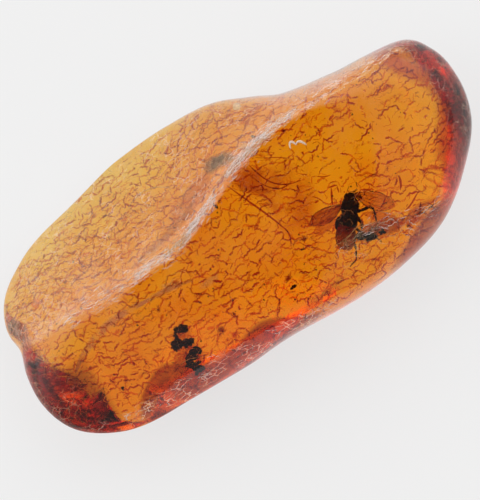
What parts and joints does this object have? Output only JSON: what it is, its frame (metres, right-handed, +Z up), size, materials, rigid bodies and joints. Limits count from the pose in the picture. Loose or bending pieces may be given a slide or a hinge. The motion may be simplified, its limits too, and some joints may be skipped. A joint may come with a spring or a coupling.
{
  "type": "insect in amber",
  "caption": "Tumbled nugget of clear honey amber with a small fly sealed inside, ridged on top and flat underneath, for display or study.",
  "frame": {"origin": "centre of the bounding box's base, on the plane of the flat underside", "axes": "+X along the nugget towards the end nearest the fly, +Y across it towards the thin back edge, +Z up from the flat underside"},
  "size_m": [0.0352, 0.0168, 0.0103],
  "materials": {
    "amber": "tumbled, crazed, see-through honey amber",
    "insect": "dark fossil insect body",
    "wings": "thin smoky wing membrane",
    "debris": "dark plant crumbs and stains",
    "crazing": "shallow red-brown cracks below the skin"
  },
  "bodies": {
    "root": {"amber": "amber"}
  },
  "joints": []
}
